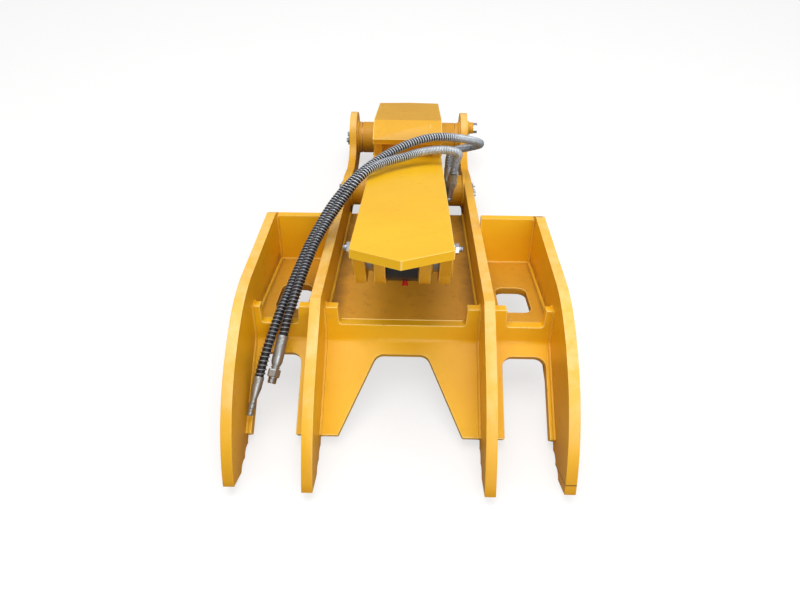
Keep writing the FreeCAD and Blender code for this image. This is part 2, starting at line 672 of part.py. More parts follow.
# Hose routes, each from its port fitting to its free end
hose_a_route = [(135, 1083.4, 222), (155, 1127, 234), (199, 1156, 219), (241, 1143, 214), (263, 1108, 238),
                (241, 1072, 271), (196, 1052, 296), (148, 1036, 312), (100, 1018, 324), (54, 996, 329),
                (3, 963, 327), (-45, 925, 321), (-89, 880, 315), (-133, 824, 308), (-172, 766, 294),
                (-205, 714, 275), (-232, 653, 252), (-255, 588, 237), (-270, 518, 222), (-286, 450, 210),
                (-299, 378, 205), (-311, 309, 184), (-325, 261, 156), (-332, 230, 132)]
hose_b_route = [(151.4, 978.4, 262.5), (134, 986, 306), (92, 974, 325), (43, 946, 325), (-5, 901, 322),
                (-50, 852, 329), (-90, 790, 345), (-122, 737, 343), (-155, 690, 323), (-184, 652, 297),
                (-208, 618, 272), (-230, 577, 249), (-247, 525, 230), (-258, 468, 216), (-267, 410, 210),
                (-274.5, 368, 205), (-282, 326, 190), (-288, 298.7, 170.1)]
port_fitting_length = 46.0
# each hose rides the bracket and its port the barrel, so their end faces stay just apart
hose_face_gap = 0.3
ferrule_a_length, ferrule_b_length = 56.0, 66.0


def hose_tube(points, name):
    """Straight runs joined by tangent arcs, swept with a round section."""
    edges = []
    tightest = 1e9
    last = points[0]
    for before, corner, after in zip(points, points[1:], points[2:]):
        arm_in, arm_out = before - corner, after - corner
        run = min(arm_in.Length, arm_out.Length)
        turn = math.pi - arm_in.getAngle(arm_out)
        radius = 0.45 * run / math.tan(turn / 2)
        tightest = min(tightest, radius)
        reach = 0.45 * run
        start = corner + arm_in * (reach / arm_in.Length)
        end = corner + arm_out * (reach / arm_out.Length)
        inward = (arm_in.normalize() + arm_out.normalize()).normalize()
        middle = corner + inward * (math.hypot(radius, reach) - radius)
        edges.append(Part.LineSegment(last, start).toShape())
        edges.append(Part.Arc(start, middle, end).toShape())
        last = end
        print("  radius", round(radius), "turn", round(math.degrees(turn)), "run", round(run))
    edges.append(Part.LineSegment(last, points[-1]).toShape())
    path = Part.Wire(edges)
    direction = (points[1] - points[0]).normalize()
    ring = Part.Wire(Part.Circle(points[0], direction, hose_radius).toShape())
    tube_solid = path.makePipeShell([ring], True, True)
    expected = math.pi * hose_radius ** 2 * path.Length
    print(name, "length", round(path.Length), "tightest", round(tightest),
          "volume ratio", round(tube_solid.Volume / expected, 4))
    save(tube_solid, name)


def fitting(start, direction, steps):
    """Round steps of (radius, length) one after the other."""
    parts = []
    place = start
    for radius, length in steps:
        parts.append(Part.makeCylinder(radius, length, place, direction))
        place = place + direction * length
    return parts[0].fuse(parts[1:]).removeSplitter() if len(parts) > 1 else parts[0]


def hex_nut(start, direction, flats, length):
    radius = flats / math.sqrt(3)
    side = direction.cross(Vector(0, 0, 1)).normalize()
    other = direction.cross(side)
    corners = [start + side * (radius * math.cos(math.radians(60 * k)))
               + other * (radius * math.sin(math.radians(60 * k))) for k in range(6)]
    return Part.Face(Part.makePolygon(corners + [corners[0]])).extrude(direction * length)


def make_hoses():
    for number, (route, name) in enumerate(((hose_a_route, "hose_a"), (hose_b_route, "hose_b"))):
        start_way = port_directions[number]
        start = port_corner(number) + start_way * port_rise
        nut = hex_nut(start, start_way, 30.0, 18.0)
        ferrule = fitting(start + start_way * 18.0, start_way, [(14.0, port_fitting_length - 18.0)])
        save(nut.fuse(ferrule).removeSplitter(), name + "_port_fitting")
        begin = start + start_way * (port_fitting_length + hose_face_gap)
        points = [begin] + [at(*p) for p in route]
        hose_tube(points, name + "_tube")
        end = points[-1]
        direction = (end - points[-2]).normalize()
        if number == 0:
            save(fitting(end, direction, [(13.0, ferrule_a_length)]), name + "_ferrule")
            after = end + direction * ferrule_a_length
            save(fitting(after, direction, [(8.0, 12.0), (10.5, 14.0), (9.0, 14.0)]), name + "_stem")
        else:
            save(fitting(end, direction, [(14.5, ferrule_b_length)]), name + "_ferrule")
            after = end + direction * ferrule_b_length
            neck = fitting(after, direction, [(9.0, 6.0)])
            nut = hex_nut(after + direction * 6.0, direction, 32.0, 16.0)
            stub = fitting(after + direction * 22.0, direction, [(12.0, 12.0)])
            save(neck.fuse([nut, stub]).removeSplitter(), name + "_nut")


make_inner_tine()
make_outer_tine()
make_center_front()
make_wing_front()
make_floors()
make_thumb_bosses()
make_thumb_pins()
make_bracket()
make_cylinder()
make_ports()
make_hoses()
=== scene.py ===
import math
import random

import bmesh
import bpy
from mathutils import Matrix, Vector


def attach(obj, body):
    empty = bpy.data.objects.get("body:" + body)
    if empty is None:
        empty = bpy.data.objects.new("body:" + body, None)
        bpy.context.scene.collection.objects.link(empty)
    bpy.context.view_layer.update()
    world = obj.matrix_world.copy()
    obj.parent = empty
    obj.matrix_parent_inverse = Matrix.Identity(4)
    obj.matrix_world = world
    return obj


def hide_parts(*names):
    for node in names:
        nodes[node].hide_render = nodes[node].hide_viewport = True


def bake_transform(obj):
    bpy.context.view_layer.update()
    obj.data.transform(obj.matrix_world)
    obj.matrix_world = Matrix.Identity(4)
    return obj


# Weld-on excavator thumb lying on its grip side, arm bracket folded down, hoses draped over it.
# Places are in millimetres: x across, y back from the short tines' tips, z up from the floor.

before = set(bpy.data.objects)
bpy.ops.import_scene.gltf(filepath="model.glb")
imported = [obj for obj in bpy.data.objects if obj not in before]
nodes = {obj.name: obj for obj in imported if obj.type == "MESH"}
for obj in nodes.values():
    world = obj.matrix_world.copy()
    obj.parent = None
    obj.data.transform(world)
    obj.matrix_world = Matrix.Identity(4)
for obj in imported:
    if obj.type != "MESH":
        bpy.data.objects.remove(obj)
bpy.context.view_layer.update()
tipLineToMiddle = 745.0
# metres; places closer than this are the same
hair = 0.00001


def at(x, y, z):
    return Vector((x, y - tipLineToMiddle, z)) / 1000


def mm(value):
    return value / 1000


# Camera

photoCamera = {"place": (20, -639, 1266), "lens": 27, "sensor": 36, "yaw": 0.0257, "down": 45}

lens = bpy.data.cameras.new("photoCamera")
lens.lens = photoCamera["lens"]
lens.sensor_width = photoCamera["sensor"]
cameraObject = bpy.data.objects.new("photoCamera", lens)
bpy.context.scene.collection.objects.link(cameraObject)
down = math.radians(photoCamera["down"])
looking = Vector((-math.sin(photoCamera["yaw"]) * math.cos(down),
                  math.cos(photoCamera["yaw"]) * math.cos(down), -math.sin(down)))
cameraObject.location = at(*photoCamera["place"])
cameraObject.rotation_mode = "QUATERNION"
cameraObject.rotation_quaternion = looking.to_track_quat("-Z", "Y")
bpy.context.scene.camera = cameraObject
bpy.context.scene.view_settings.view_transform = "Standard"
print("stage: camera")


# Materials

def colour(hexCode):
    channels = [int(hexCode[i:i + 2], 16) / 255 for i in (1, 3, 5)]
    return [c / 12.92 if c <= 0.04045 else ((c + 0.055) / 1.055) ** 2.4 for c in channels] + [1]


def setSockets(tree, node, sockets):
    for socket, value in sockets.items():
        if isinstance(value, bpy.types.NodeSocket):
            tree.links.new(value, node.inputs[socket])
        else:
            node.inputs[socket].default_value = value


# Adds a node with its settings and links, and gives back one of its outputs
def addNode(tree, kind, output, sockets=None, **settings):
    node = tree.nodes.new("ShaderNode" + kind)
    for name, value in settings.items():
        setattr(node, name, value)
    setSockets(tree, node, sockets or {})
    return node.outputs[output]


def startMaterial(name):
    material = bpy.data.materials.new(name)
    material.use_nodes = True
    tree = material.node_tree
    place = addNode(tree, "TexCoord", "Object")
    return material, tree, tree.nodes["Principled BSDF"], place


# Scale, detail and roughness of a noise, and the two levels it fades in between.
# A scale is counted per metre, so a patch is about 1000 / scale millimetres wide.
pattern = {
    "clouds": (5.5, 3, 0.55, 0.3, 0.75),  # 180 mm
    "dust": (38, 8, 0.68, 0.56, 0.78),  # 26 mm
    "rubs": (1, 3, 0.5, 0.72, 0.78),  # on a stretched place, 1 mm wide and a few centimetres long
    "wornAndLit": (22, 4, 0.6, 0.4, 0.62),  # 45 mm
    "mudAndShade": (30, 6, 0.7, 0.36, 0.62),  # 33 mm
    "mudEdge": (14, 5, 0.6, 0, 1),  # 70 mm
    "rust": (75, 6, 0.7, 0.44, 0.54),  # 13 mm
    "chips": (120, 6, 0.7, 0.6, 0.66),  # 8 mm
    "stains": (60, 6, 0.65, 0.5, 0.72),  # 17 mm
    "smear": (40, 5, 0.6, 0.45, 0.7),  # 25 mm
    "powder": (45, 6, 0.6, 0.45, 0.8),  # 22 mm
    "scuff": (90, 4, 0.55, 0.4, 0.7),  # 11 mm
}
# Scale of a fine noise, how strongly it shows, and its depth in metres
relief = {
    "orangePeel": (330, 0.18, 0.0004),  # about 1.5 mm across, drawn at 3 mm so that it shows
    "plateWave": (9, 0.35, 0.004),  # 110 mm, from rolling and welding
    "turnedLines": (2, 0.15, 0.0003),  # on a stretched place, 2 mm and less
    "drawnWire": (260, 0.12, 0.0003),  # 4 mm along the wire
    "cloth": (480, 0.25, 0.0004),  # 2 mm, the marks of the wrapping
}


def patches(tree, place, name, least=0, most=1):
    scale, detail, rough, low, high = pattern[name]
    noise = addNode(tree, "TexNoise", "Fac", {"Vector": place, "Scale": scale, "Detail": detail, "Roughness": rough})
    return addNode(tree, "MapRange", "Result", {"Value": noise, "From Min": low, "From Max": high,
                                                "To Min": least, "To Max": most})


def reliefOf(tree, place, name, under=None):
    scale, strength, depth = relief[name]
    height = addNode(tree, "TexNoise", "Fac", {"Vector": place, "Scale": scale, "Detail": 2, "Roughness": 0.55})
    sockets = {"Height": height, "Strength": strength, "Distance": depth}
    if under:
        sockets["Normal"] = under
    return addNode(tree, "Bump", "Normal", sockets)


# A colour laid over the coat. Its masks are multiplied: each is a number, a socket, or a socket and the two
# values it fades in between.
def layOver(tree, coat, hexCode, *masks):
    share = 1.0
    for mask in masks:
        if isinstance(mask, tuple):
            value, low, high = mask
            mask = addNode(tree, "MapRange", "Result", {"Value": value, "From Min": low, "From Max": high})
        share = addNode(tree, "Math", "Value", {0: share, 1: mask}, operation="MULTIPLY")
    return addNode(tree, "Mix", 2, {0: share, 6: coat, 7: colour(hexCode)}, data_type="RGBA")


def axesOf(tree, place):
    return [addNode(tree, "SeparateXYZ", axis, {"Vector": place}) for axis in "XYZ"]


# Cream where a plate's edge faces up: a painted highlight, broken into patches of rubbed wear.
# The tips are painted darker as painted shade, where less light reaches them. Heights are in metres, and facing up is
# 1.
litTopsShadedTips = {"colour": "#F7DFA6", "facing": (0.5, 0.8), "height": (0.1, 0.2), "least": 0.35,
          "tipShadeColour": "#CC8C08", "tipHeight": (0.13, 0.03), "tipStrength": 0.7}


def paintLitTopsShadedTips(tree, place, coat, strength):
    upward = axesOf(tree, addNode(tree, "TexCoord", "Normal"))[2]
    height = axesOf(tree, place)[2]
    coat = layOver(tree, coat, litTopsShadedTips["colour"], strength, (upward, *litTopsShadedTips["facing"]), (height, *litTopsShadedTips["height"]),
                   patches(tree, place, "wornAndLit", litTopsShadedTips["least"]))
    return layOver(tree, coat, litTopsShadedTips["tipShadeColour"], litTopsShadedTips["tipStrength"], (height, *litTopsShadedTips["tipHeight"]))


# A brown band on the channel's walls, within 35 mm of its sloping floor, whose top is at
# z + slope * y = height: painted shade where wall meets floor, patched with mud. It stays behind the cross plates and
# off the outermost faces, and outside the channel it goes only as far back as the wings. Each pair of metres is a
# fade, from none to full.
floorPlane = {"slope": 0.2263, "height": 0.0950}
mudAndShade = {"colour": "#7A5220", "sideColour": "#5F3F18", "over": (0.034, 0.006), "under": (-0.012, -0.004),
       "behindCross": (-0.372, -0.36), "insideWing": (0.384, 0.376), "channel": (0.204, 0.198),
       "wingEnd": (-0.045, -0.055), "wander": 0.6, "atWall": 0.004}


def wallFootShadeAndMud(tree, place, coat, strength):
    x, y, z = axesOf(tree, place)
    rise = addNode(tree, "Math", "Value", {0: y, 1: floorPlane["slope"], 2: z}, operation="MULTIPLY_ADD")
    above = addNode(tree, "Math", "Value", {0: rise, 1: floorPlane["height"]}, operation="SUBTRACT")
    aside = addNode(tree, "Math", "Value", {0: x}, operation="ABSOLUTE")
    inChannel, inWing = [addNode(tree, "MapRange", "Result", {"Value": value, "From Min": low, "From Max": high})
                         for value, (low, high) in ((aside, mudAndShade["channel"]), (y, mudAndShade["wingEnd"]))]
    inside = addNode(tree, "Math", "Value", {0: inChannel, 1: inWing}, operation="MAXIMUM")
    return layOver(tree, coat, mudAndShade["colour"], strength, (above, *mudAndShade["over"]), (above, *mudAndShade["under"]),
                   (y, *mudAndShade["behindCross"]), (aside, *mudAndShade["insideWing"]), inside, patches(tree, place, "mudAndShade"))


# A darker band also lies along a floor plate's two long sides, where it meets the walls: painted shade in the corner,
# with mud
def floorSideShadeAndMud(tree, place, coat, middle, half, reach, strength):
    aside = addNode(tree, "Math", "Value", {0: axesOf(tree, place)[0]}, operation="ABSOLUTE")
    offset = addNode(tree, "Math", "Value", {0: aside, 1: middle}, operation="SUBTRACT")
    away = addNode(tree, "Math", "Value", {0: offset}, operation="ABSOLUTE")
    wander = patches(tree, place, "mudEdge", -mudAndShade["wander"] * reach, mudAndShade["wander"] * reach)
    edge = addNode(tree, "Math", "Value", {0: away, 1: wander}, operation="ADD")
    return layOver(tree, coat, mudAndShade["sideColour"], strength, (edge, half - reach, half - mudAndShade["atWall"]))


# Rust bleeding from a corner that has been knocked bare
rust = {"colour": "#6B2F12", "fullWithin": 0.4}


def rustMarks(tree, place, coat, spots):
    for x, y, z, radius in spots:
        apart = addNode(tree, "VectorMath", "Value", {0: place, 1: tuple(at(x, y, z))}, operation="DISTANCE")
        coat = layOver(tree, coat, rust["colour"], (apart, mm(radius), mm(radius * rust["fullWithin"])),
                       patches(tree, place, "rust"))
    return coat


# A weld seam across the right short tine, one finger's width from its tip, shows as a dark line
tipSeam = {"colour": "#6A430C", "way": (0, 0.52, 0.85), "at": -0.3377, "edge": (0.0022, 0.0012),
           "tine": (0.3, 0.31), "strength": 0.8}


def seamLine(tree, place, coat):
    along = addNode(tree, "VectorMath", "Value", {0: place, 1: tipSeam["way"]}, operation="DOT_PRODUCT")
    offset = addNode(tree, "Math", "Value", {0: along, 1: tipSeam["at"]}, operation="SUBTRACT")
    away = addNode(tree, "Math", "Value", {0: offset}, operation="ABSOLUTE")
    return layOver(tree, coat, tipSeam["colour"], tipSeam["strength"], (away, *tipSeam["edge"]),
                   (axesOf(tree, place)[0], *tipSeam["tine"]))


# Two-pack enamel sprayed over shot-blasted plate: warm yellow, faint orange peel, soft clouding and dust.
enamel = {"rubColour": "#F6DC9A", "rubStrength": 0.4, "rubScale": (170, 12, 60), "rubTurn": (0.3, 0.2, 0.5),
          "dustRoughness": 0.28, "ior": 1.5, "coat": 0.06, "coatRoughness": 0.2}


def sprayedEnamel(name, main, deep, dust, gloss=0.36, grime=0.5, wornAndLit=0, footShadeAndMud=0, sides=None, rust=()):
    material, tree, shader, place = startMaterial(name)
    coat = layOver(tree, colour(main), deep, patches(tree, place, "clouds"))
    dusty = patches(tree, place, "dust")
    coat = layOver(tree, coat, dust, dusty, grime)
    rubbing = addNode(tree, "Mapping", "Vector", {"Vector": place, "Scale": enamel["rubScale"],
                                                  "Rotation": enamel["rubTurn"]})
    coat = layOver(tree, coat, enamel["rubColour"], patches(tree, rubbing, "rubs"), enamel["rubStrength"])
    # painted highlight on upward faces, and painted shade at the tips
    if wornAndLit:
        coat = paintLitTopsShadedTips(tree, place, coat, wornAndLit)
    # painted shade with mud along the foot of the walls, then the dark tip seam
    if footShadeAndMud:
        coat = seamLine(tree, place, wallFootShadeAndMud(tree, place, coat, footShadeAndMud))
    # painted shade with mud along the floor's long sides
    if sides:
        coat = floorSideShadeAndMud(tree, place, coat, *sides)
    coat = rustMarks(tree, place, coat, rust)
    rough = addNode(tree, "MapRange", "Result", {"Value": dusty, "To Min": gloss,
                                                 "To Max": gloss + enamel["dustRoughness"]})
    peel = reliefOf(tree, place, "orangePeel", reliefOf(tree, place, "plateWave"))
    setSockets(tree, shader, {"Base Color": coat, "Roughness": rough, "IOR": enamel["ior"],
                              "Coat Weight": enamel["coat"], "Coat Roughness": enamel["coatRoughness"],
                              "Normal": peel})
    return material


# Enamel on a cut corner's bevel: paler than the faces as a painted highlight, and chipped through to primer and steel
# here and there.
def cornerHighlightAndChips(name, main, chip):
    material, tree, shader, place = startMaterial(name)
    chips = patches(tree, place, "chips")
    setSockets(tree, shader, {
        "Base Color": layOver(tree, colour(main), chip, chips),
        "Roughness": addNode(tree, "MapRange", "Result", {"Value": chips, "To Min": 0.3, "To Max": 0.6}),
        "Normal": addNode(tree, "Bump", "Normal", {"Height": chips, "Strength": 0.3, "Distance": -0.0004})})
    return material


# Bare or plated metal: one tint, soft brushed or turned lines, a little staining.
def workedMetal(name, main, stain, rough=0.35, metallic=1.0, lines=(300, 300, 300), stained=0.4):
    material, tree, shader, place = startMaterial(name)
    spots = patches(tree, place, "stains", 0, stained)
    grain = addNode(tree, "Mapping", "Vector", {"Vector": place, "Scale": lines})
    setSockets(tree, shader, {
        "Base Color": layOver(tree, colour(main), stain, spots),
        "Roughness": addNode(tree, "MapRange", "Result", {"Value": spots, "To Min": rough, "To Max": rough + 0.3}),
        "Metallic": metallic,
        "Normal": reliefOf(tree, grain, "turnedLines")})
    return material


# Zinc-plated spring wire, bright where it lies high on the arm and painted darker lower down towards the free end:
# painted shade for the dark surroundings it reflects there, with random smears.
wireLowShade = {"height": (0.31, 0.24), "smear": 0.35}


def wireDarkenedLow(name, main, lowShadeTint):
    material, tree, shader, place = startMaterial(name)
    smear = patches(tree, place, "smear")
    clean, full = wireLowShade["height"]
    low = addNode(tree, "MapRange", "Result", {"Value": axesOf(tree, place)[2], "From Min": clean, "From Max": full})
    shadeAndSmear = addNode(tree, "Math", "Value", {0: smear, 1: wireLowShade["smear"], 2: low}, operation="MULTIPLY_ADD",
                   use_clamp=True)
    setSockets(tree, shader, {
        "Base Color": layOver(tree, colour(main), lowShadeTint, shadeAndSmear),
        "Roughness": addNode(tree, "MapRange", "Result", {"Value": smear, "To Min": 0.24, "To Max": 0.42}),
        "Metallic": 0.6,
        "Normal": reliefOf(tree, place, "drawnWire")})
    return material


# Synthetic rubber hose cover: near black with a blue cast, dusty, with the grain of the cloth it was wrapped in.
def wrappedRubber(name, main, dust):
    material, tree, shader, place = startMaterial(name)
    powder = patches(tree, place, "powder")
    setSockets(tree, shader, {
        "Base Color": layOver(tree, colour(main), dust, powder),
        "Roughness": addNode(tree, "MapRange", "Result", {"Value": powder, "To Min": 0.42, "To Max": 0.7}),
        "Normal": reliefOf(tree, place, "cloth")})
    return material


# Moulded polyethylene cap: saturated, waxy, no grain, scuffed darker here and there.
def mouldedPlastic(name, main, scuffed):
    material, tree, shader, place = startMaterial(name)
    scuff = patches(tree, place, "scuff")
    setSockets(tree, shader, {
        "Base Color": layOver(tree, colour(main), scuffed, scuff),
        "Roughness": 0.4,
        "Normal": addNode(tree, "Bump", "Normal", {"Height": scuff, "Strength": 0.1, "Distance": 0.0003})})
    return material


finish = {
    "armPlate": sprayedEnamel("armPlateEnamel", "#F2BC10", "#EAB00C", "#C99C40", 0.4, 0.2),
    # a darker, dustier copy of the yellow enamel: painted shade on the head plate
    "headPlate": sprayedEnamel("headPlateEnamel", "#DFA412", "#D39A10", "#A8813A", 0.46, 0.4),
    # the tines carry a painted highlight on upward faces, painted shade at the tips, and painted shade with mud along
    # their foot
    "tine": sprayedEnamel("tineEnamel", "#ECB108", "#E4A606", "#B98A2C", 0.42, 0.3, wornAndLit=0.4, footShadeAndMud=0.75,
                          rust=[(378, 727, 226, 26), (366, 742, 205, 16)]),
    "crossPlate": sprayedEnamel("crossPlateEnamel", "#F2BA06", "#ECAF04", "#BE9026", 0.42, 0.2),
    # the floors are darker and dustier than the walls: partly dust, partly painted shade in the recesses under the
    # plates
    "centreFloor": sprayedEnamel("centreFloorEnamel", "#E2A426", "#CC8E1C", "#8A6430", 0.5, 0.6,
                                 sides=(0, 0.19, 0.045, 0.7)),
    "wingFloor": sprayedEnamel("wingFloorEnamel", "#D69C20", "#C68E1C", "#8C6A3A", 0.5, 0.5,
                               sides=(0.29, 0.075, 0.014, 0.6)),
    # a darker, dustier copy of the yellow enamel for pieces inside the bracket and under the plates: painted shade
    "inside": sprayedEnamel("insideEnamel", "#DDA00E", "#D0940E", "#946828", 0.48, 0.5),
    # lighter than the plates so that the weld toes show as light lines: a painted highlight
    "bead": sprayedEnamel("weldBeadEnamel", "#EDB832", "#DFA824", "#A87C36", 0.36, 0.3),
    # paler bevel faces: a painted highlight on the cut corners, with chips
    "corner": cornerHighlightAndChips("cornerHighlightAndChips", "#F6CE6A", "#B09C72"),
    "blackPaint": sprayedEnamel("blackEnamel", "#15161A", "#0E0F12", "#4A4238", 0.4, 0.5),
    "pinSteel": workedMetal("turnedPinSteel", "#9C9A96", "#5C4E3E", 0.38),
    "zinc": workedMetal("zincPlate", "#B9BCC2", "#7E7C74", 0.3),
    "fittingSteel": workedMetal("fittingSteel", "#A6AAAC", "#4E4C4A", 0.36, 0.8, (1100, 1100, 1100), 0.4),
    "bronze": workedMetal("sinteredBronze", "#A9773A", "#5E4220", 0.42),
    "chrome": workedMetal("hardChrome", "#D9DCE0", "#A8A8A6", 0.08, 1.0, (900, 60, 60), 0.15),
    "iron": workedMetal("pistonIron", "#5A5A5C", "#3A3632", 0.5),
    # paler high up and painted darker lower down: painted shade for the dark surroundings in the wire's reflection
    "guardWire": wireDarkenedLow("guardWire", "#C8CED6", "#969CA4"),
    "rubber": wrappedRubber("hoseCover", "#090B14", "#1E2432"),
    "redCap": mouldedPlastic("greaseCap", "#D21F16", "#8C1410"),
}
print("stage: materials")


# Hoses

hoseA = {
    "points": [(135, 1056.25, 185.76), (135, 1083.4, 222), (160, 1110, 222), (192, 1136, 211), (222, 1146, 212),
               (241, 1116, 238), (226, 1078, 268), (190, 1054, 290), (148, 1034, 308), (100, 1016, 321),
               (54, 992, 328), (3, 959, 328), (-45, 921, 324), (-89, 876, 319), (-133, 822, 312), (-172, 766, 297),
               (-205, 714, 278), (-232, 653, 256), (-255, 588, 239), (-271, 518, 225), (-286, 450, 212),
               (-300, 378, 204), (-314, 309, 184), (-328, 261, 156), (-336, 230, 132)],
    "length": 1.357, "closeWound": 320,
}
hoseB = {
    "points": [(145.9, 973.86, 218.36), (151.3, 978.4, 262.9), (161, 968, 294), (122, 958, 311), (70, 956, 309),
               (30, 940, 309), (-5, 914, 311), (-40, 884, 319), (-68, 853, 327), (-92, 817, 337),
               (-113, 783, 341), (-136, 752, 332), (-158, 726, 310), (-181, 695, 293), (-202, 656, 279),
               (-220, 614, 267), (-235, 568, 258), (-248, 514, 246), (-258, 458, 236), (-267, 408, 224),
               (-275, 366, 211), (-281, 337, 197), (-286, 316, 182)],
    "length": 0.962, "closeWound": 190,
}
# a flat spring wire is wound round each hose: close by the ports, open where it is draped, loose at the free end
hoseCover = 10.4
guardWire = {"width": 4.5, "thick": 2.5, "sides": 6, "close": 4.7, "open": 8.6, "loose": 10.4, "around": 14,
             "block": 8, "openOver": 60, "looseFrom": 0.6, "narrowFrom": 0.42, "narrowBy": 0.42, "narrowOver": 0.2}


def linkPiece(name, mesh, material, body=None):
    piece = bpy.data.objects.new(name, mesh)
    bpy.context.scene.collection.objects.link(piece)
    mesh.materials.clear()
    mesh.materials.append(material)
    if body:
        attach(piece, body)
    return piece


def routeCurve(name, points, radius):
    curve = bpy.data.curves.new(name, "CURVE")
    curve.dimensions = "3D"
    spline = curve.splines.new("NURBS")
    spline.points.add(len(points) - 1)
    for point, place in zip(spline.points, points):
        point.co = (*at(*place), 1)
    spline.order_u = 3
    spline.use_endpoint_u = True
    spline.resolution_u = 10
    curve.bevel_depth = mm(radius)
    curve.bevel_resolution = 4
    curve.use_fill_caps = True
    return curve


# Points along a curve's own line, from one end to the other
def pathOf(curve):
    line = curve.copy()
    line.bevel_depth = 0
    holder = bpy.data.objects.new("pathProbe", line)
    mesh = bpy.data.meshes.new_from_object(holder)
    path = [v.co.copy() for v in mesh.vertices]
    bpy.data.objects.remove(holder)
    bpy.data.meshes.remove(mesh)
    return path


# Distance, place, way ahead and way across at each point, carried along without twist
def turnedFrames(path):
    side = Vector((0, 0, 1))
    frames = []
    travelled = 0.0
    for i, point in enumerate(path):
        before, after = path[max(i - 1, 0)], path[min(i + 1, len(path) - 1)]
        ahead = (after - before).normalized()
        side = (side - ahead * side.dot(ahead)).normalized()
        travelled += (point - before).length
        frames.append((travelled, point, ahead, side.copy()))
    return frames


def meshFrom(name, curve):
    holder = bpy.data.objects.new(name, curve)
    mesh = bpy.data.meshes.new_from_object(holder)
    bpy.data.objects.remove(holder)
    mesh.name = name
    for face in mesh.polygons:
        face.use_smooth = True
    return mesh


# How far along the hose each turn of its guard starts, in metres; the turns fill whole blocks
def turnStarts(length, closeWound):
    starts = [0.0]
    while starts[-1] < length:
        opened = min(1, max(0, (starts[-1] - mm(closeWound)) / mm(guardWire["openOver"])))
        slack = max(0, starts[-1] / length - guardWire["looseFrom"]) / (1 - guardWire["looseFrom"])
        pitch = guardWire["close"] + (guardWire["open"] - guardWire["close"]) * opened
        starts.append(starts[-1] + mm(pitch + (guardWire["loose"] - guardWire["open"]) * slack))
    wound = len(starts) - 1
    turns = guardWire["block"] * round(wound / guardWire["block"])
    spread = []
    for k in range(turns + 1):
        low = min(int(k * wound / turns), wound - 1)
        spread.append(starts[low] + (starts[low + 1] - starts[low]) * (k * wound / turns - low))
    return [start * length / starts[-1] for start in spread]


# One block of a straight flat coil is spun, copied end to end, then laid along the hose
def springGuard(name, path, closeWound):
    frames = turnedFrames(path)
    starts = turnStarts(frames[-1][0], closeWound)
    block, around = guardWire["block"], guardWire["around"]
    bm = bmesh.new()
    wire = bmesh.ops.create_circle(bm, segments=guardWire["sides"], radius=0.5)["verts"]
    bmesh.ops.scale(bm, verts=wire, vec=(mm(guardWire["width"]), mm(guardWire["thick"]), 1))
    bmesh.ops.rotate(bm, verts=wire, cent=(0, 0, 0), matrix=Matrix.Rotation(math.pi / 2, 3, "Y"))
    bmesh.ops.translate(bm, verts=wire, vec=(0, mm(hoseCover + guardWire["thick"] / 2), 0))
    bmesh.ops.spin(bm, geom=bm.edges[:] + bm.verts[:], cent=(0, 0, 0), axis=(0, 0, 1), dvec=(0, 0, 1 / around),
                   angle=2 * math.pi * block, steps=block * around)
    coil = bm.verts[:] + bm.edges[:] + bm.faces[:]
    for first in range(block, len(starts) - 1, block):
        copied = bmesh.ops.duplicate(bm, geom=coil)["geom"]
        bmesh.ops.translate(bm, verts=[g for g in copied if isinstance(g, bmesh.types.BMVert)], vec=(0, 0, first))
    bmesh.ops.remove_doubles(bm, verts=bm.verts[:], dist=2 * hair)
    step = 0
    for vert in sorted(bm.verts, key=lambda v: v.co.z):
        turn = round(vert.co.z * around) / around
        whole = min(int(turn), len(starts) - 2)
        narrowed = (turn / (len(starts) - 1) - guardWire["narrowFrom"]) / guardWire["narrowOver"]
        travelled = starts[whole] + (starts[whole + 1] - starts[whole]) * (turn - whole)
        travelled += (vert.co.z - turn) * (1 - guardWire["narrowBy"] * min(1, max(0, narrowed)))
        while step < len(frames) - 2 and frames[step + 1][0] < travelled:
            step += 1
        low, high = frames[step], frames[step + 1]
        share = (travelled - low[0]) / max(high[0] - low[0], hair)
        ahead = low[2].lerp(high[2], share).normalized()
        sideways = low[3].lerp(high[3], share).normalized()
        vert.co = low[1].lerp(high[1], share) + sideways * vert.co.x + ahead.cross(sideways) * vert.co.y
    bmesh.ops.recalc_face_normals(bm, faces=bm.faces[:])
    mesh = bpy.data.meshes.new(name)
    bm.to_mesh(mesh)
    bm.free()
    mesh.shade_smooth()
    return mesh


def makeHose(name, hose):
    curve = routeCurve(name, hose["points"], hoseCover)
    path = pathOf(curve)
    line = linkPiece(name, meshFrom(name, curve), finish["rubber"])
    guard = linkPiece(name + "Guard", springGuard(name + "Guard", path, hose["closeWound"]), finish["guardWire"])
    for piece in (line, guard):
        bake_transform(piece)
    return line, guard, path


hoseALine, hoseAGuard, hoseAPath = makeHose("hoseA", hoseA)
hoseBLine, hoseBGuard, hoseBPath = makeHose("hoseB", hoseB)
print("stage: hoses")


# Turned pieces and nuts

# degrees between two faces of a turned piece whose shared edge is drawn sharp
sharpFrom = 35


# Spins a list of (distance along, radius) in millimetres round an axis, closed at both ends
def turnedPiece(name, profile, start, direction, material, body, segments=32):
    bm = bmesh.new()
    last = None
    for along, radius in profile:
        vert = bmesh.ops.create_vert(bm, co=(mm(radius), 0, mm(along)))["vert"][0]
        if last:
            bm.edges.new((last, vert))
        last = vert
    bmesh.ops.spin(bm, geom=bm.verts[:] + bm.edges[:], cent=(0, 0, 0), axis=(0, 0, 1), angle=2 * math.pi,
                   steps=segments, use_merge=True)
    bmesh.ops.remove_doubles(bm, verts=bm.verts[:], dist=hair)
    bmesh.ops.holes_fill(bm, edges=[e for e in bm.edges if e.is_boundary], sides=0)
    return finishSolid(bm, name, start, direction, material, body)


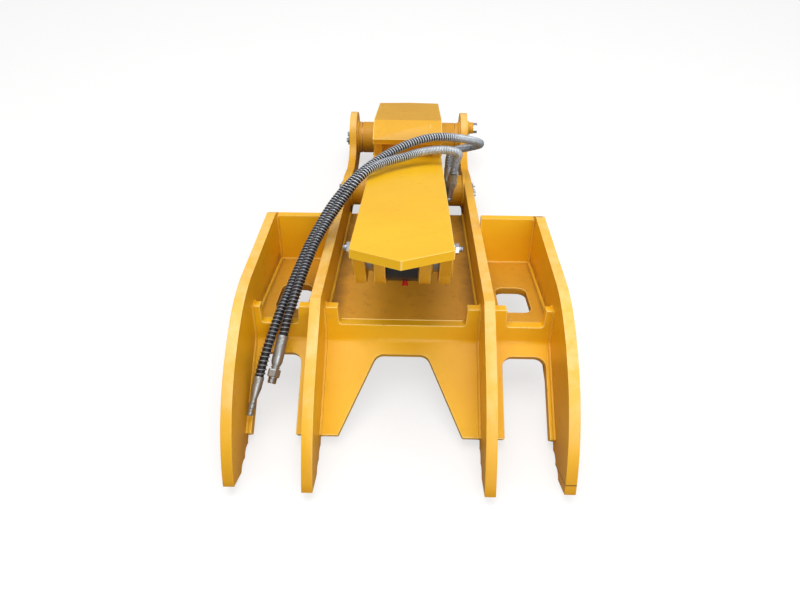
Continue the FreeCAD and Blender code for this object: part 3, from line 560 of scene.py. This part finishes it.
def hexPiece(name, flats, length, start, direction, material, body, chamfer=1.2):
    bm = bmesh.new()
    bmesh.ops.create_circle(bm, cap_ends=True, segments=6, radius=mm(flats) / math.sqrt(3))
    top = bmesh.ops.extrude_face_region(bm, geom=bm.faces[:])["geom"]
    bmesh.ops.translate(bm, verts=[g for g in top if isinstance(g, bmesh.types.BMVert)], vec=(0, 0, mm(length)))
    rims = [e for e in bm.edges if abs(e.verts[0].co.z - e.verts[1].co.z) < hair]
    bmesh.ops.bevel(bm, geom=rims, offset=mm(chamfer), affect="EDGES", segments=2, profile=0.5, material=-1)
    return finishSolid(bm, name, start, direction, material, body, smooth=False)


def finishSolid(bm, name, start, direction, material, body, smooth=True):
    bmesh.ops.recalc_face_normals(bm, faces=bm.faces[:])
    turn = Vector(direction).normalized().to_track_quat("Z", "X").to_matrix().to_4x4()
    bm.transform(Matrix.Translation(at(*start)) @ turn)
    mesh = bpy.data.meshes.new(name)
    bm.to_mesh(mesh)
    bm.free()
    if smooth:
        mesh.shade_smooth()
        mesh.set_sharp_from_angle(angle=math.radians(sharpFrom))
    return linkPiece(name, mesh, material, body)


# The place a distance past a hose's free end, and the way it points
def pastEnd(hose, distance):
    end, before = Vector(hose["points"][-1]), Vector(hose["points"][-2])
    way = (end - before).normalized()
    return tuple(end + way * distance), way


# Outline of a ferrule: a rolled lip, two shallow crimp bands, and a taper to its nose
def crimpedFerrule(length, radius, nose, taper):
    outline = [(0, hoseCover), (0, radius - 0.8), (1.2, radius)]
    for ring in (9, 17):
        outline += [(ring, radius), (ring + 1.5, radius - 0.3), (ring + 4.5, radius - 0.3), (ring + 6, radius)]
    return outline + [(length - taper, radius), (length - 3, nose), (length, nose - 0.8), (length, nose - 2.5)]


# Crests and roots of a thread, half a pitch apart
def threadRun(first, pitch, crest, root, turns):
    run = []
    for k in range(turns):
        run += [(first + k * pitch, crest), (first + pitch / 2 + k * pitch, root)]
    return run


ferrule = {"A": {"length": 56, "radius": 12.2, "nose": 7.8, "taper": 30},
           "B": {"length": 74, "radius": 13.4, "nose": 11.2, "taper": 10}}
stemProfile = [(56, 5), (56, 6.6), (64, 6.6), (65, 8.4), (67, 8.8), (74, 8.8), (76, 8.2), (77, 6.8), (83, 6.8),
               (84, 7.8), (92, 7.6), (94, 6.2), (94, 4), (84, 3.6)]
# hose B's swivel: a grooved neck, a nut and the thread that stands out of it
swivel = {"neck": [(0, 7), (0, 8.6), (2, 8.6), (2.6, 11), (5, 11), (5.6, 9), (8, 9), (8, 7)], "neckLength": 8,
          "nutAcross": 27, "nutLength": 20, "nutChamfer": 2.8,
          "thread": [(0, 8), (0, 10.6), *threadRun(1, 2.2, 10.6, 9.8, 6), (14.5, 9.4), (15, 8.6), (15, 6.2), (4, 6)]}


def makeHoseEnds():
    steel = finish["fittingSteel"]
    endA, wayA = pastEnd(hoseA, 0)
    ferruleA = turnedPiece("ferruleA", crimpedFerrule(**ferrule["A"]), endA, wayA, steel, "bracket")
    stemA = turnedPiece("stemA", stemProfile, endA, wayA, steel, "bracket")
    endB, wayB = pastEnd(hoseB, 0)
    ferruleB = turnedPiece("ferruleB", crimpedFerrule(**ferrule["B"]), endB, wayB, steel, "bracket")
    reach = ferrule["B"]["length"]
    collarB = turnedPiece("swivelNeckB", swivel["neck"], pastEnd(hoseB, reach)[0], wayB, steel, "bracket")
    reach += swivel["neckLength"]
    nutB = hexPiece("swivelNutB", swivel["nutAcross"], swivel["nutLength"], pastEnd(hoseB, reach)[0], wayB, steel,
                    "bracket", swivel["nutChamfer"])
    reach += swivel["nutLength"]
    skirtB = turnedPiece("swivelThreadB", swivel["thread"], pastEnd(hoseB, reach)[0], wayB, finish["zinc"],
                         "bracket")
    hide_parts("hose_a_ferrule")
    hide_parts("hose_a_stem")
    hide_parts("hose_b_ferrule")
    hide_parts("hose_b_nut")
    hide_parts("hose_a_tube")
    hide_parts("hose_b_tube")


makeHoseEnds()
print("stage: hose ends")

# The CAD model's own pieces keep their shape and get a finish. A bevel, here in millimetres and nought for
# none, catches light on the plates' cut corners, and its faces take the paler corner enamel as a painted highlight.
plateFinish = {
    "armPlate": (["arm_plate"], 2.0),
    "headPlate": (["head_plate"], 2.0),
    "tine": (["inner_tine_right", "inner_tine_left", "outer_tine_right", "outer_tine_left"], 2.6),
    "crossPlate": (["center_front_plate", "wing_front_plate_right", "wing_front_plate_left",
                    "wing_back_plate_right", "wing_back_plate_left"], 1.8),
    "centreFloor": (["center_floor"], 1.5),
    "wingFloor": (["wing_floor_right", "wing_floor_left"], 1.5),
    "inside": (["bracket_web_right", "bracket_web_left", "head_riser", "rod_lug_right", "rod_lug_left",
                "pivot_tube", "cylinder_boss_right", "cylinder_boss_left", "ear_collars", "rod_pin_flags",
                "pivot_lock_sleeve"], 1.2),
    "blackPaint": (["barrel", "gland", "barrel_cap_eye", "transfer_pipe", "rod_eye"], 0),
    "pinSteel": (["pivot_pin", "cylinder_pin", "rod_pin_middle", "rod_pin_right", "rod_pin_left", "pin_end_bars"], 0),
    "fittingSteel": (["hose_a_port_fitting", "hose_b_port_fitting", "port_elbows", "hose_a_stem", "hose_b_nut",
                      "hose_a_ferrule", "hose_b_ferrule"], 0),
    "zinc": (["lock_nuts", "lock_bolts", "pin_end_bolts", "piston_nut"], 0),
    "bronze": (["cylinder_boss_bushes", "pivot_bushes", "pivot_washers", "cap_eye_bush", "rod_eye_bush"], 0),
    "chrome": (["cylinder_rod"], 0),
    "iron": (["piston"], 0),
    "rubber": (["rod_wiper", "piston_seal", "hose_a_tube", "hose_b_tube"], 0),
    "redCap": (["grease_cap"], 0),
}


cutCorner = {"segments": 2, "sharperThan": 40}


def dressNode(node, material, corner):
    part = nodes[node]
    part.data.materials.clear()
    part.data.materials.append(material)
    if corner:
        part.data.materials.append(finish["corner"])
        weld = part.modifiers.new("joinFacets", "WELD")
        weld.merge_threshold = hair
        bevel = part.modifiers.new("cutCorners", "BEVEL")
        bevel.width = mm(corner)
        bevel.segments = cutCorner["segments"]
        bevel.limit_method = "ANGLE"
        bevel.angle_limit = math.radians(cutCorner["sharperThan"])
        # the bevel's faces take the paler corner enamel, a painted highlight
        bevel.material = 1


for kind, (members, corner) in plateFinish.items():
    for node in members:
        dressNode(node, finish[kind], corner)
print("stage: plates")

# Fillet welds: runs of (x, y, z) points, 4 mm between ripples
weldRipple = {"step": 4.0, "dip": 0.86, "uneven": (0.93, 1.06), "seed": 7}
weldRadius = {"thumb": 6.0, "bracket": 5.0, "barrel": 3.0}


def weldCurve(name, runs, radius):
    dice = random.Random(weldRipple["seed"])
    curve = bpy.data.curves.new(name, "CURVE")
    curve.dimensions = "3D"
    curve.bevel_depth = mm(radius)
    curve.bevel_resolution = 2
    curve.use_fill_caps = True
    for run in runs:
        places = []
        for a, b in zip(run, run[1:]):
            a, b = at(*a), at(*b)
            parts = max(2, round((b - a).length / mm(weldRipple["step"])))
            places += [a.lerp(b, k / parts) for k in range(parts)]
        places.append(at(*run[-1]))
        spline = curve.splines.new("POLY")
        spline.points.add(len(places) - 1)
        for k, (point, place) in enumerate(zip(spline.points, places)):
            point.co = (*place, 1)
            point.radius = (1.0 if k % 2 else weldRipple["dip"]) * dice.uniform(*weldRipple["uneven"])
    return curve


def weldBeads(name, runs, body):
    mesh = meshFrom(name, weldCurve(name, runs, weldRadius[body]))
    piece = linkPiece(name, mesh, finish["bead"], body)


# Each round place seen from the side, as (y, z)
pivotPin, cylinderPin, rodPin, lockSleeve = (1406, 92), (1080, 80), (393, 369), (1380, 150)


def ringRun(x, centre, radius):
    turns = [math.radians(6 * k) for k in range(61)]
    return [(x, centre[0] + radius * math.cos(turn), centre[1] + radius * math.sin(turn)) for turn in turns]


def bothSides(runs):
    return runs + [[(-x, y, z) for x, y, z in run] for run in runs]


# The thumb's seams seen from the side, as (y, z), and the walls across x that they lie on
seams = {
    "frontFace": [(367.9, 229.5), (345.3, 140.8), (133.9, 35.9)],
    "frontRear": [(375.3, 157.4), (366.6, 123.6), (145.0, 13.5)],
    "wingFoot": [(392.1, 223.3), (380.2, 176.8)],
    "wingFloorTop": [(380.2, 176.8), (694.2, 96.8)],
    "wingFloorUnder": [(375.3, 157.4), (689.2, 77.4)],
    "channelFoot": [(392.1, 223.3), (380.4, 177.5)],
    "channelFloorTop": [(380.4, 177.5), (1000, 37.3)],
    "channelFloorUnder": [(375.3, 157.4), (995.6, 17.8)],
    "backByLongTine": [(694.2, 96.8), (719.5, 196)],
    "backByShortTine": [(694.2, 96.8), (727, 226)],
    "backRear": [(713.5, 71.2), (744, 192)],
}
channelWall, wingWalls = 190, (215, 365)


def onWall(x, name):
    return [(x, y, z) for y, z in seams[name]]


thumbWelds = bothSides(
    [onWall(x, "wingFloorTop") for x in wingWalls]
    + [[(x, *seams["wingFloorTop"][-1]) for x in wingWalls]]
    + [onWall(wingWalls[0], "backByLongTine"), onWall(wingWalls[1], "backByShortTine")]
    + [onWall(wingWalls[0], "backRear")]
    + [onWall(x, name) for name in ("frontFace", "frontRear") for x in (*wingWalls, channelWall)]
    + [onWall(x, "wingFoot") for x in wingWalls]
    + [onWall(channelWall, name) for name in ("channelFoot", "channelFloorTop", "channelFloorUnder")]
    + [onWall(x, "wingFloorUnder") for x in wingWalls]
    + [ringRun(189, cylinderPin, 53), ringRun(189, pivotPin, 57)])
thumbWelds.append(ringRun(216, lockSleeve, 20))
weldBeads("thumbWelds", thumbWelds, "thumb")

# The bracket's sloping plates: where one place on the top face lies, slope in degrees, thickness
armPlate = {"y": 288, "z": 482, "slope": 18.1, "thick": 20}
headPlate = {"y": 1119, "z": 319, "slope": 18.4, "thick": 20}
webOuter, webInner, lugInner = 106, 81, 62.5


def plateHeight(plate, y, under=False):
    slope = math.radians(plate["slope"])
    depth = plate["thick"] / math.cos(slope) if under else 0
    return plate["z"] - math.tan(slope) * (y - plate["y"]) - depth


def alongPlate(plate, x, start, end, under=False):
    return [(x, y, plateHeight(plate, y, under)) for y in (start, end)]


bracketWelds = bothSides([
    alongPlate(armPlate, webOuter, 308, 1340, under=True),
    alongPlate(armPlate, webInner, 450, 1340, under=True),
    alongPlate(armPlate, webOuter, 1056, 1352),
    alongPlate(headPlate, webOuter, 1121, 1432, under=True),
    alongPlate(armPlate, lugInner, 334, 452, under=True),
    ringRun(webOuter + 1, pivotPin, 57),
    ringRun(webInner, pivotPin, 57),
    ringRun(63, rodPin, 31),
])
bracketWelds.append([(x, 1073, plateHeight(armPlate, 1073)) for x in (-78, 78)])
bracketWelds.append([(x, 1362.5, 131) for x in (-webOuter, webOuter)])
weldBeads("bracketWelds", bracketWelds, "bracket")

# The cylinder's cap is welded on round its axis
cylinderAxis = {"foot": (0, *cylinderPin), "way": (0, -0.921762, 0.387757)}


def axisRing(distance, radius):
    foot, way = Vector(cylinderAxis["foot"]), Vector(cylinderAxis["way"])
    right = Vector((1, 0, 0))
    up = right.cross(way)
    centre = foot + way * distance
    turns = [2 * math.pi * k / 60 for k in range(61)]
    return [tuple(centre + (right * math.cos(turn) + up * math.sin(turn)) * radius) for turn in turns]


capSeam = weldCurve("barrelWelds", [axisRing(75, 52)], weldRadius["barrel"])
barrelSeams = linkPiece("barrelWelds", meshFrom("barrelWelds", capSeam), finish["blackPaint"], "barrel")
print("stage: welds")

# Small fasteners

lockBolt = {"place": (377, 411), "face": 112, "washer": 2.2, "nutAcross": 22, "nutLength": 10, "threadFrom": 12,
            "thread": [(0, 6.2), *threadRun(0.4, 1.5, 7, 6.2, 5), (8, 6), (8, 0.5)]}


def makeLockBolts():
    face, thick = lockBolt["face"], lockBolt["washer"]
    for side, name in ((1, "Right"), (-1, "Left")):
        way = (side, 0, 0)
        washer = turnedPiece("lockWasher" + name, [(0, 7.3), (0, 13), (thick, 13), (thick, 7.3), (0, 7.3)],
                             (side * face, *lockBolt["place"]), way, finish["zinc"], "bracket")
        nut = hexPiece("lockNut" + name, lockBolt["nutAcross"], lockBolt["nutLength"],
                       (side * (face + thick), *lockBolt["place"]), way, finish["zinc"], "bracket")
        end = turnedPiece("lockThread" + name, lockBolt["thread"],
                          (side * (face + lockBolt["threadFrom"]), *lockBolt["place"]), way, finish["zinc"],
                          "bracket", 20)
        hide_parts("lock_nuts")


makeLockBolts()


# A grease nipple stands on the pivot tube, between the webs
greaseNipple = {"profile": [(0, 0.5), (0, 4.4), (4, 4.4), (4.4, 3.2), (8, 2.4), (9.5, 3.2), (11.5, 3.2), (12.5, 1.6),
                            (12.5, 0.4)], "way": (0, -0.4, 0.9165), "tubeRadius": 54}
nippleFoot = Vector((0, *pivotPin)) + Vector(greaseNipple["way"]) * greaseNipple["tubeRadius"]
nipple = turnedPiece("pivotNipple", greaseNipple["profile"], nippleFoot, greaseNipple["way"], finish["zinc"],
                     "bracket", 16)
print("stage: fasteners")

# Floor, backdrop and light

studio = {"floorSize": 14, "floorSeen": "#F6F6F4", "floorLit": "#8F8C86", "floorGlow": 0.66,
          "horizon": 0.34, "sky": 0.78, "horizonAt": -0.1, "skyAt": 0.9}
lamps = {
    "topBox": {"place": (-0.3, 0.1, 3.6), "target": (0, 0, 0.1), "size": 3.0, "power": 72.0},
    "frontFill": {"place": (0.8, -3.2, 1.9), "target": (0, -0.2, 0.2), "size": 2.2, "power": 34.0},
    "sideFill": {"place": (2.7, -0.9, 1.5), "target": (0, 0, 0.2), "size": 1.6, "power": 16.0},
}


def makeFloor():
    bm = bmesh.new()
    bmesh.ops.create_grid(bm, x_segments=1, y_segments=1, size=studio["floorSize"])
    mesh = bpy.data.meshes.new("studioFloor")
    bm.to_mesh(mesh)
    bm.free()
    material, tree, shader, _ = startMaterial("paleFloor")
    seen = addNode(tree, "LightPath", "Is Camera Ray")
    # the floor looks white but throws back less light, as the yard's ground did
    setSockets(tree, shader, {"Base Color": layOver(tree, colour(studio["floorLit"]), studio["floorSeen"], seen),
                              "Roughness": 0.9})
    glow = addNode(tree, "Emission", "Emission", {"Color": (1, 1, 1, 1), "Strength": 1.0})
    share = addNode(tree, "Math", "Value", {0: seen, 1: studio["floorGlow"]}, operation="MULTIPLY")
    mixed = addNode(tree, "MixShader", "Shader", {0: share, 1: shader.outputs[0], 2: glow})
    setSockets(tree, tree.nodes["Material Output"], {"Surface": mixed})
    linkPiece("studioFloor", mesh, material, None)


def makeRoom():
    room = bpy.data.worlds.new("paleRoom")
    room.use_nodes = True
    bpy.context.scene.world = room
    tree = room.node_tree
    height = addNode(tree, "SeparateXYZ", "Z", {"Vector": addNode(tree, "TexCoord", "Generated")})
    light = addNode(tree, "MapRange", "Result", {"Value": height, "From Min": studio["horizonAt"],
                                                 "From Max": studio["skyAt"], "To Min": studio["horizon"],
                                                 "To Max": studio["sky"]})
    seen = addNode(tree, "LightPath", "Is Camera Ray")
    strength = addNode(tree, "MapRange", "Result", {"Value": seen, "To Min": light, "To Max": 1.0})
    setSockets(tree, tree.nodes["Background"], {"Strength": strength, "Color": (1, 1, 1, 1)})


def softLamp(name, place, target, size, power):
    data = bpy.data.lights.new(name, "AREA")
    data.energy = power
    data.shape = "DISK"
    data.size = size
    lamp = bpy.data.objects.new(name, data)
    bpy.context.scene.collection.objects.link(lamp)
    lamp.location = place
    lamp.rotation_mode = "QUATERNION"
    lamp.rotation_quaternion = (Vector(target) - Vector(place)).to_track_quat("-Z", "Y")


makeFloor()
makeRoom()
for name, lamp in lamps.items():
    softLamp(name, **lamp)
print("stage: studio")
